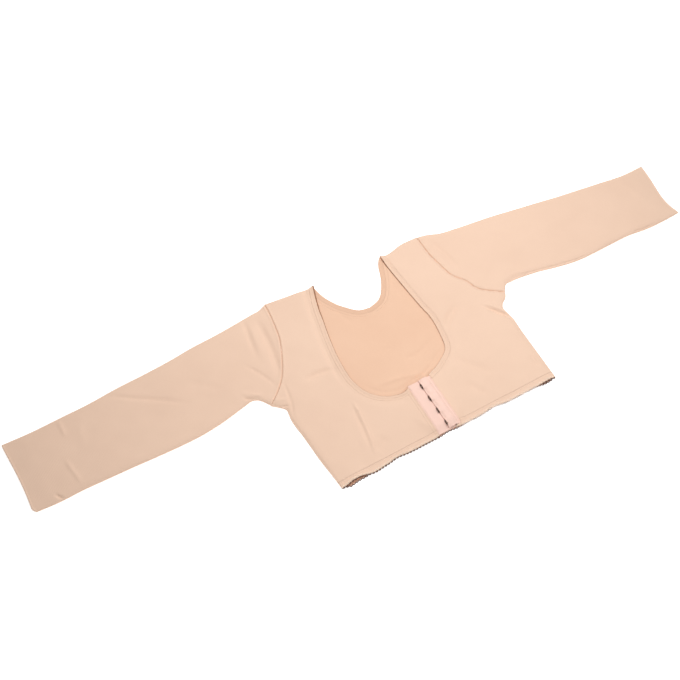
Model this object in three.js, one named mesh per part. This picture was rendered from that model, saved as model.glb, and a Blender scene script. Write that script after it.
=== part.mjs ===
// A long-sleeved compression top with a hooked front, lying flat with its front side up.
// Millimetres: X runs across the garment, Y from hem to neck and Z up. Right and left are the
// wearer's, so the right sleeve lies on the -X side.
import * as THREE from "three";

// Driving dimensions of the cloth and seams
const cloth = 1.2; // thickness of the knit
const hollow = 5.6; // clear height between the two layers
const seamGap = 0.3; // between pieces that are sewn together
const rollIn = 16; // how far in from a folded edge the top layer curves down
const foldWidth = 10; // from the crest of a usual fold to its foot
const foldHeight = 1; // of a usual fold above the top layer

// Driving dimensions of the body
const hemHalf = 175; // centre line to the side seam, at the hem
const armpitHalf = 201; // centre line to the foot of the armhole seam
const armpitHeight = 158; // hem to the foot of the armhole seam
const shoulderHalf = 138; // centre line to the top of the armhole seam
const shoulderHeight = 317; // hem to the top of the armhole seam
const neckHalf = 61; // centre line to the neck end of the shoulder seam
const neckHeight = 310; // hem to the neck end of the shoulder seam
const backNeckHeight = 235; // hem to the lowest point of the back neckline
const frontNeckHeight = 87; // hem to the top of the front closure

// Driving dimensions of the sleeves, bands and closure
const cuffTopReach = 557.5; // centre line to the upper corner of the cuff
const cuffUnderReach = 546; // centre line to the lower corner of the cuff
const cuffWidth = 114; // across the cuff, laid flat
const bindingWidth = 8; // binding round the neckline
const edgingWidth = 9; // elastic edging along the hem
const picotPitch = 5; // from one loop of the edging to the next
const picotDepth = 1.6; // how far each loop stands out
const closureAt = -5; // free edge of the hook tape, from the centre line
const tapeWidth = 18.5; // each closure tape, where it shows
const tapeLap = 9.5; // eye tape hidden under the hook tape
const tapeThickness = 1.5;
const tapeFlat = 3; // far edge of the hook tape that lies flat on its panel
const tapeFoot = 2; // hem to the lower end of the tapes
const hookCount = 4;
const hookPitch = 21.5;
const firstHook = 12; // hem to the first hook
const hookWidth = 3.6; // between the two prongs of a hook
const hookTaper = 0.9; // width of a hook's lower arms where they start to close
const hookReach = 2.5; // how far a hook stands out of its tape
const hookWire = 0.9; // wire diameter
const eyeWidth = 6.4; // between the legs of an eye
const eyeFoot = 1.2; // length of each foot of an eye
const eyeWire = 0.8; // wire diameter

// Heights that follow from them
const layerTop = 2 * cloth + hollow;
const edgeTop = 2 * cloth + seamGap;
const tapeBase = cloth + hollow;
const eyeTapeTop = tapeBase + tapeThickness;
const hookLowArm = eyeTapeTop + seamGap + hookWire / 2;
const eyeBar = hookLowArm + hookWire / 2 + seamGap + eyeWire / 2;
const hookTapeBase = eyeBar + eyeWire / 2 + seamGap;
const hookTopArm = hookTapeBase + tapeThickness / 2;

// Number of parts that each line is divided into. Side and armhole together have as many as
// closure and neckline together, because each panel lies between them.
const sideCount = 9;
const armholeCount = 12;
const necklineCount = 16;
const closureCount = sideCount + armholeCount - necklineCount;
const sleeveCount = 24;
const frontCount = 9;
const backCount = 3;

// The two sides of the garment. Shares are of the named half widths, because the real top
// doesn't lie quite evenly.
const sides = [
  { name: "right", sign: -1, shoulder: 1.007, neck: 0.99, cuffUnder: 1.004, cuffBow: 2 },
  { name: "left", sign: 1, shoulder: 0.978, neck: 1.01, cuffUnder: 0.995, cuffBow: 7.5 },
];

// Side edge. up: share of armpitHeight. right, left: share of the way from hemHalf to armpitHalf.
const sideEdge = [
  { up: 0, right: 0.12, left: -0.04 },
  { up: 0.15, right: 0.23, left: 0.01 },
  { up: 0.3, right: 0.36, left: 0.05 },
  { up: 0.45, right: 0.44, left: 0.09 },
  { up: 0.6, right: 0.52, left: 0.135 },
  { up: 0.7, right: 0.6, left: 0.17 },
  { up: 0.78, right: 0.635, left: 0.115 },
  { up: 0.85, right: 0.6, left: 0.1 },
  { up: 0.9, right: 0.58, left: 0.25 },
  { up: 0.95, right: 0.85, left: 0.615 },
  { up: 1, right: 1.19, left: 0.81 },
];

// Armhole seam. down: share of its height. right, left: share of the way out to the armpit.
const armholeSeam = [
  { down: 0, right: 0, left: 0 },
  { down: 0.12, right: 0.025, left: -0.02 },
  { down: 0.28, right: 0.075, left: -0.015 },
  { down: 0.42, right: 0.134, left: 0.035 },
  { down: 0.56, right: 0.25, left: 0.1 },
  { down: 0.64, right: 0.335, left: 0.21 },
  { down: 0.7, right: 0.4, left: 0.33 },
  { down: 0.78, right: 0.5, left: 0.395 },
  { down: 0.84, right: 0.6, left: 0.47 },
  { down: 0.92, right: 0.78, left: 0.7 },
  { down: 1, right: 1, left: 1 },
];

// Shoulder seam, from the neck. along: share of its length. right, left: share of cuffWidth below
// the straight line.
const shoulderSeam = [
  { along: 0, right: 0, left: 0 },
  { along: 0.12, right: 0.012, left: 0.03 },
  { along: 0.3, right: -0.012, left: 0.012 },
  { along: 0.6, right: -0.012, left: -0.02 },
  { along: 1, right: 0, left: 0 },
];

// Front neckline. down: share of its depth. right, left: share of neckHalf from the centre line.
const frontNeck = [
  { down: 0.18, right: 1.15, left: 1.05 },
  { down: 0.28, right: 1.22, left: 1.07 },
  { down: 0.4, right: 1.31, left: 1.1 },
  { down: 0.5, right: 1.37, left: 1.13 },
  { down: 0.59, right: 1.41, left: 1.17 },
  { down: 0.68, right: 1.43, left: 1.155 },
  { down: 0.77, right: 1.42, left: 1.1 },
  { down: 0.85, right: 1.33, left: 1.02 },
  { down: 0.91, right: 1.18, left: 0.86 },
  { down: 0.96, right: 0.94, left: 0.62 },
  { down: 0.99, right: 0.64, left: 0.4 },
];

// Back neckline, out from the centre line. across: share of neckHalf. right, left: share of its
// depth.
const backNeck = [
  { across: 0, right: 1, left: 1 },
  { across: 0.25, right: 0.96, left: 0.945 },
  { across: 0.41, right: 0.88, left: 0.85 },
  { across: 0.54, right: 0.78, left: 0.71 },
  { across: 0.66, right: 0.67, left: 0.545 },
  { across: 0.75, right: 0.55, left: 0.38 },
  { across: 0.83, right: 0.42, left: 0.2 },
  { across: 0.92, right: 0.2, left: 0.07 },
];

// The armhole's curve fades out over armholeFade of the sleeve, and the cuff's bow over cuffFade.
// A bow with a lean above 1 is deepest below the middle of the cuff.
const armholeFade = 0.22;
const cuffFade = 0.15;
const cuffLean = 1.35;

// Sleeve sections from armhole to cuff. along: share of the sleeve. top: upper edge, as a share
// of shoulderHeight. width: share of an even taper from the armhole's height to cuffWidth.
const sleeveSections = [
  { along: 0, topRight: 1, topLeft: 1, widthRight: 1, widthLeft: 1 },
  { along: 0.03, topRight: 0.983, topLeft: 0.994, widthRight: 0.873, widthLeft: 0.92 },
  { along: 0.06, topRight: 0.976, topLeft: 0.981, widthRight: 0.843, widthLeft: 0.896 },
  { along: 0.1, topRight: 0.968, topLeft: 0.964, widthRight: 0.846, widthLeft: 0.874 },
  { along: 0.2, topRight: 0.956, topLeft: 0.948, widthRight: 0.895, widthLeft: 0.897 },
  { along: 0.3, topRight: 0.946, topLeft: 0.935, widthRight: 0.947, widthLeft: 0.948 },
  { along: 0.4, topRight: 0.929, topLeft: 0.916, widthRight: 0.946, widthLeft: 0.972 },
  { along: 0.5, topRight: 0.918, topLeft: 0.897, widthRight: 0.947, widthLeft: 0.962 },
  { along: 0.6, topRight: 0.91, topLeft: 0.877, widthRight: 0.948, widthLeft: 0.939 },
  { along: 0.7, topRight: 0.896, topLeft: 0.861, widthRight: 0.935, widthLeft: 0.929 },
  { along: 0.8, topRight: 0.886, topLeft: 0.845, widthRight: 0.944, widthLeft: 0.951 },
  { along: 0.9, topRight: 0.88, topLeft: 0.83, widthRight: 0.974, widthLeft: 0.949 },
  { along: 1, topRight: 0.886, topLeft: 0.833, widthRight: 1.018, widthLeft: 0.978 },
];

// Folds that stand up from the top layer. Ends: shares of hemHalf across and of shoulderHeight
// up. width: share of foldWidth. rise: share of foldHeight.
const folds = [
  { name: "front crease", x0: -0.6, y0: 0.31, x1: -0.66, y1: 0.1, width: 0.7, rise: 1.3 },
  { name: "right chest", x0: -0.82, y0: 0.56, x1: -0.57, y1: 0.5, width: 1.4, rise: 0.9 },
  { name: "left chest", x0: 0.46, y0: 0.47, x1: 0.76, y1: 0.54, width: 1.5, rise: 0.9 },
  { name: "right armpit", x0: -1.15, y0: 0.5, x1: -0.93, y1: 0.6, width: 0.6, rise: 1.2 },
  { name: "right armpit side", x0: -1.06, y0: 0.49, x1: -1.03, y1: 0.38, width: 0.6, rise: 1.1 },
  { name: "left armpit", x0: 0.92, y0: 0.47, x1: 1.0, y1: 0.36, width: 0.7, rise: 1.4 },
  { name: "right sleeve head", x0: -1.17, y0: 0.68, x1: -1.07, y1: 0.59, width: 0.7, rise: 1.1 },
  { name: "left sleeve head", x0: 0.83, y0: 0.97, x1: 0.88, y1: 0.8, width: 1.2, rise: 1 },
  { name: "left sleeve under", x0: 1.17, y0: 0.58, x1: 1.4, y1: 0.57, width: 0.7, rise: 1 },
  { name: "right sleeve long", x0: -2.28, y0: 0.87, x1: -1.72, y1: 0.67, width: 0.9, rise: 1.1 },
  { name: "right sleeve elbow", x0: -1.7, y0: 0.72, x1: -1.5, y1: 0.63, width: 0.9, rise: 0.9 },
  { name: "right sleeve cuff", x0: -2.73, y0: 0.86, x1: -2.8, y1: 0.6, width: 1.2, rise: 0.8 },
  { name: "left sleeve long", x0: 1.3, y0: 0.66, x1: 2.3, y1: 0.76, width: 1.2, rise: 0.9 },
];

// Plan geometry
const point = (x, y) => new THREE.Vector2(x, y);
const mix = THREE.MathUtils.lerp;
const smooth = (points, fineness = 6) =>
  new THREE.SplineCurve(points).getPoints(fineness * (points.length - 1));
const spaced = (points, count) => new THREE.Path(points).getSpacedPoints(count);
const straight = (a, b, count) => spaced([a, b], count);

// Points moved sideways by a distance, to the left of the way they run.
function beside(points, distance) {
  return points.map((p, i) => {
    const before = points[Math.max(i - 1, 0)];
    const after = points[Math.min(i + 1, points.length - 1)];
    const way = after.clone().sub(before).normalize();
    return point(p.x - way.y * distance, p.y + way.x * distance);
  });
}

// A line cut off below a height.
function above(points, height) {
  const first = points.findIndex((p) => p.y > height);
  const [a, b] = [points[first - 1], points[first]];
  return [a.clone().lerp(b, (height - a.y) / (b.y - a.y)), ...points.slice(first)];
}

// The outlines of one side of the garment.
function outlinesOf(side) {
  const { name, sign } = side;
  const key = name === "right" ? "Right" : "Left";
  const out = (share) => sign * mix(hemHalf, armpitHalf, share);
  const seamPoint = ({ up, ...row }) => point(out(row[name]), up * armpitHeight);
  const sideLine = smooth(sideEdge.map(seamPoint));
  const armpit = sideLine.at(-1);
  const shoulder = point(sign * shoulderHalf * side.shoulder, shoulderHeight);
  const neck = point(sign * neckHalf * side.neck, neckHeight);

  const armholeRow = (row) =>
    point(mix(shoulder.x, armpit.x, row[name]), mix(shoulder.y, armpit.y, row.down));
  const armhole = spaced(smooth(armholeSeam.map(armholeRow)), armholeCount);

  const shoulderRow = (row) => {
    const p = neck.clone().lerp(shoulder, row.along);
    return point(p.x, p.y - row[name] * cuffWidth);
  };
  const shoulderLine = smooth(shoulderSeam.map(shoulderRow));

  const tapeEdge = sign < 0 ? closureAt - tapeWidth : closureAt + tapeWidth;
  const frontRow = (row) =>
    point(sign * neckHalf * row[name], mix(neckHeight, frontNeckHeight, row.down));
  const besideTape = point(tapeEdge + sign * seamGap, frontNeckHeight);
  const frontLine = smooth([besideTape, ...frontNeck.toReversed().map(frontRow), neck]);
  const frontNeckline = spaced(frontLine, necklineCount);
  const backRow = (row) =>
    point(sign * neckHalf * row.across, mix(neckHeight, backNeckHeight, row[name]));
  const backNeckline = spaced(smooth([...backNeck.map(backRow), neck]), necklineCount);

  const topRow = (row) => {
    const reach = mix(Math.abs(shoulder.x), cuffTopReach, row.along);
    return point(sign * reach, shoulderHeight * row["top" + key]);
  };
  const underRow = (row) => {
    const width = mix(shoulderHeight - armpitHeight, cuffWidth, row.along) * row["width" + key];
    const reach = mix(Math.abs(armpit.x), cuffUnderReach * side.cuffUnder, row.along);
    return point(sign * reach, shoulderHeight * row["top" + key] - width);
  };
  const alongRow = (row) => point(row.along, 0);
  const ringsOf = (row) => new THREE.SplineCurve(sleeveSections.map(row)).getPoints(sleeveCount);
  const sleeve = { top: ringsOf(topRow), under: ringsOf(underRow), along: ringsOf(alongRow) };
  const seams = { sideLine, armhole, shoulderLine, frontNeckline, backNeckline, sleeve };
  return { ...side, ...seams, armpit, shoulder, neck, tapeEdge };
}

const halves = sides.map(outlinesOf);
const [right, left] = halves;

// The folded edges of the garment, where its top layer comes down to the lower one.
const foldedEdges = halves.flatMap((half) => [
  half.sideLine,
  half.shoulderLine,
  half.sleeve.top,
  half.sleeve.under,
]);

function distanceTo(p, a, b) {
  const way = b.clone().sub(a);
  const share = THREE.MathUtils.clamp(p.clone().sub(a).dot(way) / way.lengthSq(), 0, 1);
  return p.distanceTo(a.clone().addScaledVector(way, share));
}

function distanceToFold(p) {
  let nearest = Infinity;
  for (const edge of foldedEdges)
    for (let i = 1; i < edge.length; i += 1)
      nearest = Math.min(nearest, distanceTo(p, edge[i - 1], edge[i]));
  return nearest;
}

// Rises from 0 on a folded edge to 1 where the roll ends, as a quarter of an ellipse.
function roll(distance) {
  const left = 1 - THREE.MathUtils.clamp(distance / rollIn, 0, 1);
  return Math.sqrt(1 - left * left);
}

function foldedUp(p) {
  let height = 0;
  for (const fold of folds) {
    const from = point(fold.x0 * hemHalf, fold.y0 * shoulderHeight);
    const to = point(fold.x1 * hemHalf, fold.y1 * shoulderHeight);
    const near = 1 - (distanceTo(p, from, to) / (fold.width * foldWidth)) ** 2;
    if (near > 0) height += fold.rise * foldHeight * near * near;
  }
  return height;
}

const topFace = (p) => {
  const rolled = roll(distanceToFold(p));
  return mix(edgeTop, layerTop, rolled) + foldedUp(p) * rolled;
};
const topUnder = (p) => topFace(p) - cloth;
const insideTop = (p) => {
  const rolled = roll(distanceToFold(p) - cloth);
  return cloth + hollow * rolled + foldedUp(p) * rolled;
};
const level = (height) => () => height;

// A closed geometry, turned so that its faces point out.
function closed(points, triangles) {
  const volume = triangles.reduce((sum, [a, b, c]) => {
    const normal = new THREE.Vector3().crossVectors(points[b], points[c]);
    return sum + points[a].dot(normal);
  }, 0);
  const faces = volume < 0 ? triangles.map(([a, b, c]) => [a, c, b]) : triangles;
  const geometry = new THREE.BufferGeometry().setFromPoints(points);
  geometry.setIndex(faces.flat());
  geometry.computeVertexNormals();
  return geometry;
}

// A sheet of cloth over plan grids that may share an edge, between the heights under and over.
function sheet(grids, under, over) {
  const plan = [];
  const found = new Map();
  const indexOf = (p) => {
    const key = p.x.toFixed(3) + " " + p.y.toFixed(3);
    if (!found.has(key)) found.set(key, plan.push(p) - 1);
    return found.get(key);
  };
  const cells = [];
  for (const grid of grids)
    for (let i = 1; i < grid.length; i += 1)
      for (let j = 1; j < grid[i].length; j += 1) {
        const cell = [grid[i - 1][j - 1], grid[i - 1][j], grid[i][j], grid[i][j - 1]];
        const turned = THREE.ShapeUtils.area(cell) < 0 ? cell.reverse() : cell;
        cells.push(turned.map(indexOf));
      }
  const count = plan.length;
  const face = (height) => plan.map((p) => new THREE.Vector3(p.x, p.y, height(p)));
  const points = [...face(under), ...face(over)];
  const edges = new Set(cells.flatMap((cell) => cell.map((a, i) => a + " " + cell[(i + 1) % 4])));
  const triangles = [];
  for (const cell of cells) {
    const [a, b, c, d] = cell;
    triangles.push([a, c, b], [a, d, c]);
    triangles.push([a + count, b + count, c + count], [a + count, c + count, d + count]);
    cell.forEach((from, i) => {
      const to = cell[(i + 1) % 4];
      if (!edges.has(to + " " + from))
        triangles.push([from, to, to + count], [from, to + count, from + count]);
    });
  }
  return closed(points, triangles);
}

// A grid of plan points between two lines that have the same number of points.
const between = (a, b, count) => a.map((p, i) => straight(p, b[i], count));

// A hollow tube through outer and inner rings, open at both ends.
function tube(outer, inner) {
  const size = outer[0].length;
  const last = outer.length - 1;
  const points = [...outer.flat(), ...inner.flat()];
  const at = (layer, ring, i) => (layer * outer.length + ring) * size + (i % size);
  const quads = [];
  for (let i = 0; i < size; i += 1) {
    for (let ring = 0; ring < last; ring += 1) {
      quads.push([at(0, ring, i), at(0, ring, i + 1), at(0, ring + 1, i + 1), at(0, ring + 1, i)]);
      quads.push([at(1, ring, i), at(1, ring + 1, i), at(1, ring + 1, i + 1), at(1, ring, i + 1)]);
    }
    quads.push([at(0, 0, i), at(1, 0, i), at(1, 0, i + 1), at(0, 0, i + 1)]);
    quads.push([at(0, last, i), at(0, last, i + 1), at(1, last, i + 1), at(1, last, i)]);
  }
  return closed(points, quads.flatMap(([a, b, c, d]) => [[a, b, c], [a, c, d]]));
}

// A round wire along a smooth curve through its points.
function wire(points, diameter, steps) {
  const section = new THREE.Shape(
    Array.from({ length: 6 }, (_, i) => {
      const angle = (i * Math.PI) / 3;
      return point(Math.cos(angle), Math.sin(angle)).multiplyScalar(diameter / 2);
    }),
  );
  const extrudePath = new THREE.CatmullRomCurve3(points, false, "centripetal");
  return new THREE.ExtrudeGeometry(section, { steps, extrudePath, curveSegments: 1 });
}

// The line down the outer edge of a body panel: its side edge and the armhole above it.
const bandTop = edgingWidth + seamGap;
function panelEdge(half) {
  const side = spaced(above(half.sideLine, bandTop), sideCount);
  const armhole = beside(half.armhole.toReversed(), half.sign * seamGap);
  return [...side.slice(0, -1), ...armhole];
}

// The line beside a neckline that its binding or panel ends on, which closes on the shoulder seam.
function besideNeckline(half, neckline, distance) {
  const moved = beside(neckline, half.sign * -distance);
  moved[0] = point(neckline[0].x, neckline[0].y - distance);
  const share = distance / half.neck.distanceTo(half.shoulder);
  const index = Math.max(1, Math.round(share * (half.shoulderLine.length - 1)));
  moved[moved.length - 1] = half.shoulderLine[index];
  return moved;
}

// A panel's inner edge, up a straight line and then beside its neckline, with as many points as
// the outer edge.
function innerEdge(half, neckline) {
  const upper = besideNeckline(half, neckline, bindingWidth + seamGap);
  const lower = straight(point(upper[0].x, bandTop), upper[0], closureCount);
  return [...lower.slice(0, -1), ...upper];
}

const panelGrid = (half, neckline, count) =>
  between(innerEdge(half, neckline), panelEdge(half), count);
const frontPanel = (half) =>
  sheet([panelGrid(half, half.frontNeckline, frontCount)], topUnder, topFace);
function backPanel() {
  const grids = halves.map((half) => panelGrid(half, half.backNeckline, backCount));
  return sheet(grids, level(0), level(cloth));
}

const binding = (half, neckline) =>
  between(neckline, besideNeckline(half, neckline, bindingWidth), 1);
const frontBinding = (half) => sheet([binding(half, half.frontNeckline)], topUnder, topFace);
const backBinding = () =>
  sheet(halves.map((half) => binding(half, half.backNeckline)), level(0), level(cloth));

// Hem edging from one X to another, straight above and in picot loops below. Its ends lean
// sideways with the side edges.
function edging(from, to, lean, under, over) {
  const loops = Math.max(1, Math.round(Math.abs(to - from) / picotPitch));
  const topFrom = point(from + lean.from, edgingWidth);
  const topTo = point(to + lean.to, edgingWidth);
  const lower = straight(point(from, 0), point(to, 0), 2 * loops);
  lower.forEach((p, i) => (p.y -= i % 2 ? picotDepth : 0));
  return sheet([between(lower, straight(topFrom, topTo, 2 * loops), 1)], under, over);
}

const hemCorner = (half) => half.sideLine[0].x;
const hemLean = (half) => above(half.sideLine, edgingWidth)[0].x - hemCorner(half);
function frontEdging(half) {
  const lean = { from: 0, to: hemLean(half) };
  return edging(half.tapeEdge + half.sign * seamGap, hemCorner(half), lean, topUnder, topFace);
}
function backEdging() {
  const lean = { from: hemLean(right), to: hemLean(left) };
  return edging(hemCorner(right), hemCorner(left), lean, level(0), level(cloth));
}

// A sleeve: flat rings between its two edges. The first follows the armhole seam and the last the
// bowed cuff.
function sleeve(half) {
  const { top, under, along } = half.sleeve;
  const rings = top.map((upper, ring) => {
    const share = along[ring].x;
    const nearArmhole = Math.max(0, 1 - share / armholeFade) ** 1.5;
    const nearCuff = Math.max(0, 1 - (1 - share) / cuffFade) ** 2;
    return half.armhole.map((seam, i) => {
      const across = i / armholeCount;
      const bend = seam.clone().sub(half.shoulder.clone().lerp(half.armpit, across));
      const p = upper.clone().lerp(under[ring], across).addScaledVector(bend, nearArmhole);
      p.x -= half.sign * half.cuffBow * nearCuff * Math.sin(Math.PI * across ** cuffLean);
      return p;
    });
  });
  // The inner ring keeps the wall's thickness from each folded edge.
  const narrowed = rings.map((ring) => {
    const inner = ring.slice();
    const step = (from, to) => from.clone().lerp(to, cloth / from.distanceTo(to));
    inner[0] = step(ring[0], ring[1]);
    inner[ring.length - 1] = step(ring.at(-1), ring.at(-2));
    return inner;
  });
  const loop = (ring, low, high) => [
    ...ring.map((p) => new THREE.Vector3(p.x, p.y, high(p))),
    ...ring.toReversed().map((p) => new THREE.Vector3(p.x, p.y, low(p))),
  ];
  const insideEdge = (p) => Math.max(insideTop(p), cloth + seamGap);
  return tube(
    rings.map((ring) => loop(ring, level(0), topFace)),
    narrowed.map((ring) => loop(ring, level(cloth), insideEdge)),
  );
}

// The eye tape lies flat, and the hook tape steps up over it and the eyes.
function eyeTape() {
  const [from, to] = [closureAt - tapeWidth, closureAt + tapeLap];
  const ends = [tapeFoot, frontNeckHeight];
  const grid = [from, to].map((x) => ends.map((y) => point(x, y)));
  return sheet([grid], level(tapeBase), level(eyeTapeTop));
}

function hookTape() {
  const stepFrom = closureAt + tapeLap + 2 * seamGap;
  const stepTo = closureAt + tapeWidth - tapeFlat;
  const stepped = (x) => THREE.MathUtils.smoothstep(x, stepFrom, stepTo);
  const lift = (p) => mix(hookTapeBase, tapeBase, stepped(p.x));
  const steps = straight(point(stepFrom, 0), point(stepTo, 0), 4).map((p) => p.x);
  const across = [closureAt, ...steps, closureAt + tapeWidth];
  const grid = across.map((x) => [point(x, tapeFoot), point(x, frontNeckHeight)]);
  return sheet([grid], lift, (p) => lift(p) + tapeThickness);
}

// A hook: one wire out of the tape's free edge, down round the eye, back under it and out again.
function hook(y) {
  const edge = closureAt - seamGap;
  const middle = (hookTopArm + hookLowArm) / 2;
  const half = hookWidth / 2;
  const prong = (side) => [
    new THREE.Vector3(edge, y + side * half, hookTopArm),
    new THREE.Vector3(edge - hookReach / 2, y + side * half, hookTopArm),
    new THREE.Vector3(edge - hookReach, y + side * half, middle),
    new THREE.Vector3(edge - hookReach / 2, y + side * half, hookLowArm),
    new THREE.Vector3(edge + hookReach / 2, y + side * half * hookTaper, hookLowArm),
  ];
  const tip = new THREE.Vector3(edge + hookReach, y, hookLowArm);
  return wire([...prong(-1), tip, ...prong(1).toReversed()], hookWire, 18);
}

// An eye: a wire staple whose bar lies inside the hook and whose feet rest on the eye tape.
function eye(y) {
  const x = closureAt - seamGap - hookReach + hookWire / 2 + eyeWire / 2 + seamGap;
  const foot = eyeTapeTop + seamGap + eyeWire / 2;
  const half = eyeWidth / 2;
  const legs = (side) => [
    new THREE.Vector3(x, y + side * (half + eyeFoot), foot),
    new THREE.Vector3(x, y + side * (half + eyeFoot / 4), foot),
    new THREE.Vector3(x, y + side * (half - eyeFoot / 2), eyeBar),
  ];
  return wire([...legs(-1), ...legs(1).toReversed()], eyeWire, 10);
}

// The scene
const knit = new THREE.MeshStandardMaterial({ color: 0xeccfb4, roughness: 0.85 });
const inside = new THREE.MeshStandardMaterial({ color: 0xf2c8a8, roughness: 0.9 });
const tape = new THREE.MeshStandardMaterial({ color: 0xf7d3bf, roughness: 0.7 });
const elastic = new THREE.MeshStandardMaterial({ color: 0xe6c3a2, roughness: 0.8 });
const metal = new THREE.MeshStandardMaterial({ color: 0x7d6a5c, roughness: 0.4, metalness: 1 });

const garment = new THREE.Group();
function add(name, geometry, material) {
  const mesh = new THREE.Mesh(geometry, material);
  mesh.name = name;
  garment.add(mesh);
}

add("back_panel", backPanel(), inside);
add("neck_binding_back", backBinding(), knit);
add("hem_edging_back", backEdging(), elastic);
for (const half of halves) {
  add("front_panel_" + half.name, frontPanel(half), knit);
  add("neck_binding_" + half.name, frontBinding(half), knit);
  add("hem_edging_" + half.name, frontEdging(half), elastic);
  add("sleeve_" + half.name, sleeve(half), knit);
}
add("eye_tape", eyeTape(), tape);
add("hook_tape", hookTape(), tape);
for (let i = 0; i < hookCount; i += 1) {
  add("hook_" + (i + 1), hook(firstHook + i * hookPitch), metal);
  add("eye_" + (i + 1), eye(firstHook + i * hookPitch), metal);
}

// The origin lies on the surface below the middle of the garment.
const bounds = new THREE.Box3().setFromObject(garment);
const middle = bounds.getCenter(new THREE.Vector3());
garment.position.set(-middle.x, -middle.y, -bounds.min.z);
const part = new THREE.Group();
part.add(garment);

export default part;
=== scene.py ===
import math

import bpy
import numpy as np
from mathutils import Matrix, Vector


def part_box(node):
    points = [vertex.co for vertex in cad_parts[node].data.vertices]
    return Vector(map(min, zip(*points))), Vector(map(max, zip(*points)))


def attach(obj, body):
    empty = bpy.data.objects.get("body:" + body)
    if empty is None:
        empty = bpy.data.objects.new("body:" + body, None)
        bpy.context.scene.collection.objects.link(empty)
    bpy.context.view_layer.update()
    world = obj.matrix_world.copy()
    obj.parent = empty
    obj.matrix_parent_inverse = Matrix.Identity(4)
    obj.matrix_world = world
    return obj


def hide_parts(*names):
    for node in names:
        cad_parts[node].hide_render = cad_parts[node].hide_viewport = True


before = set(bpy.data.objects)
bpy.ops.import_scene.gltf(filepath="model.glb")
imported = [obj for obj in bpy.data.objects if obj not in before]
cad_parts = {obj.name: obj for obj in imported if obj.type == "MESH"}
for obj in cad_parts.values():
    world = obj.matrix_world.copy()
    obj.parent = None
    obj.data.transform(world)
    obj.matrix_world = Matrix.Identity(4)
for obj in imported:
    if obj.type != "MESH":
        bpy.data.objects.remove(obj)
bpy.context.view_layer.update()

MM = 0.001

# Driving dimensions, as in the CAD model
CLOTH = 1.2
HOLLOW = 5.6
SEAM_GAP = 0.3
HEM_HALF = 175.0
ARMPIT_HALF = 201.0
ARMPIT_HEIGHT = 158.0
SHOULDER_HALF = 138.0
SHOULDER_HEIGHT = 317.0
NECK_HALF = 61.0
NECK_HEIGHT = 310.0
BACK_NECK_HEIGHT = 235.0
FRONT_NECK_HEIGHT = 87.0
CUFF_TOP_REACH = 557.5
CUFF_UNDER_REACH = 546.0
CUFF_WIDTH = 114.0
BINDING_WIDTH = 8.0
EDGING_WIDTH = 9.0
PICOT_PITCH = 5.0
PICOT_DEPTH = 1.6
CLOSURE_AT = -5.0
TAPE_WIDTH = 18.5
TAPE_LAP = 9.5
TAPE_THICKNESS = 1.5
TAPE_FLAT = 3.0
ARMHOLE_FADE = 0.22
CUFF_FADE = 0.15

LAYER_TOP = 2 * CLOTH + HOLLOW
EDGE_TOP = 2 * CLOTH + SEAM_GAP
SEWN = 0.005  # between pieces that are sewn together
SEAM_OPEN = 0.1  # between a panel and its sleeve
TAPE_BASE = CLOTH + HOLLOW

# The garment's zero lines, read off the frame
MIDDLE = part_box("hook_tape")[0].x / MM - CLOSURE_AT
HEM_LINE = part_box("hem_edging_back")[0].y / MM + PICOT_DEPTH
HOOK_TAPE_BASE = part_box("hook_tape")[1].z / MM - TAPE_THICKNESS

# The two sides of the garment. The first row of each holds shares of the driving dimensions, and
# the rest lengths in millimetres: the cuff's bow and rounded corner, how far the neckline by the
# tape hangs lower and up to which height, and the depth and waves of the armhole seam.
SIDES = [
    {
        "name": "right", "sign": -1,
        "shoulder": 1.007, "neck": 0.965, "under": 1.004, "armpit": 0.988,
        "bow": 2.0, "cuff_lean": 1.35, "cuff_round": 3.5,
        "neck_sag": 6.0, "sag_to": 160, "seam_depth": 1.15, "seam_wave": 0.2,
    },
    {
        "name": "left", "sign": 1,
        "shoulder": 0.978, "neck": 1.01, "under": 0.995, "armpit": 1.0,
        "bow": 7.0, "cuff_lean": 1.95, "cuff_round": 0.0,
        "neck_sag": -4.5, "sag_to": 120, "seam_depth": 2.0, "seam_wave": 0.7,
    },
]

# Side edge: (share of ARMPIT_HEIGHT, right, left), as shares of the way from HEM_HALF to
# ARMPIT_HALF
SIDE_EDGE = [
    (0.0, 0.12, -0.04), (0.15, 0.23, 0.01), (0.3, 0.36, 0.05), (0.45, 0.44, 0.09),
    (0.6, 0.52, 0.145), (0.7, 0.6, 0.2), (0.78, 0.635, 0.14), (0.85, 0.6, 0.11),
    (0.9, 0.58, 0.28), (0.95, 0.85, 0.69), (1.0, 1.19, 0.87),
]

# Armhole seam: (share of its height from the top, right, left), as shares of the way out
ARMHOLE = [
    (0.0, 0.0, 0.0), (0.12, 0.012, -0.02), (0.28, 0.055, -0.015), (0.42, 0.112, 0.035),
    (0.56, 0.228, 0.1), (0.64, 0.313, 0.21), (0.7, 0.378, 0.33), (0.78, 0.48, 0.395),
    (0.84, 0.585, 0.47), (0.92, 0.77, 0.7), (1.0, 1.0, 1.0),
]

# Shoulder seam from the neck: (share of its length, right, left), as shares of CUFF_WIDTH below
# the straight line
SHOULDER = [
    (0.0, 0.0, 0.0), (0.12, 0.02, 0.03), (0.3, 0.0, 0.012), (0.6, 0.0, -0.02),
    (1.0, 0.0, 0.0),
]

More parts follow.
